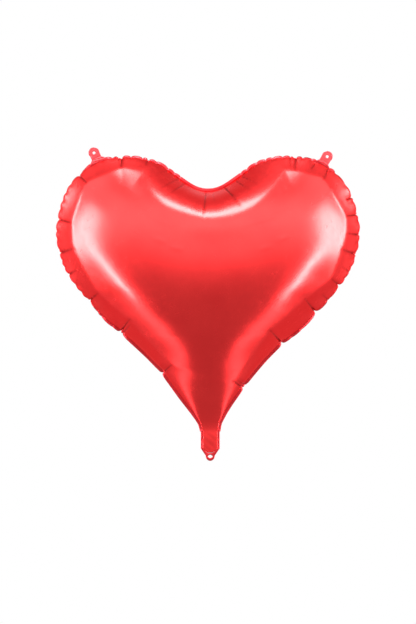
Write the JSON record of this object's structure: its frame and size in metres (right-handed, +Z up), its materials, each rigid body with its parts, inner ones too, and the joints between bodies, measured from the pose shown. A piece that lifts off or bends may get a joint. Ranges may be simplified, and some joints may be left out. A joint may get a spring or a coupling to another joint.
{
  "type": "heart foil balloon",
  "caption": "Inflated heart-shaped metallised foil balloon with a welded rim, a flat filling neck with a film valve, a tie tab and two hanging tabs.",
  "frame": {"origin": "middle of the whole balloon's box, tabs and neck included; the weld of the two sheets lies in the plane y = 0", "axes": "+X right as the balloon is looked at, +Y away from the viewer through its thickness, +Z up from the tie tab to the lobes"},
  "size_m": [0.62, 0.3, 0.6312],
  "materials": {
    "panel_foil": "satin red metallised film",
    "seam_foil": "two foils welded flat, deeper red",
    "tab_foil": "thin flat foil, paler red",
    "valve_film": "clear soft film"
  },
  "bodies": {
    "envelope": {"front_panel": "panel_foil", "back_panel": "panel_foil", "seam_band": "seam_foil", "valve_front_film": "valve_film", "valve_back_film": "valve_film"},
    "tail": {"neck_front": "panel_foil", "neck_back": "panel_foil", "tie_tab": "seam_foil", "inlet_front_film": "valve_film", "inlet_back_film": "valve_film"},
    "left_tab": {"left_hang_tab": "tab_foil"},
    "right_tab": {"right_hang_tab": "tab_foil"}
  },
  "joints": [
    {"name": "tail_fold", "type": "hinge", "parent": "envelope", "child": "tail", "pos_m": [0, 0, -0.2585], "axis": [1, 0, 0], "range_deg": [-90, 90], "stiffness_Nm_per_rad": 0.001},
    {"name": "left_tab_fold", "type": "hinge", "parent": "envelope", "child": "left_tab", "pos_m": [-0.22405, 0, 0.29042], "axis": [0.9275, 0, 0.3738], "range_deg": [-90, 90], "stiffness_Nm_per_rad": 0.0005},
    {"name": "right_tab_fold", "type": "hinge", "parent": "envelope", "child": "right_tab", "pos_m": [0.23415, 0, 0.28529], "axis": [0.8882, 0, -0.4595], "range_deg": [-90, 90], "stiffness_Nm_per_rad": 0.0005}
  ]
}
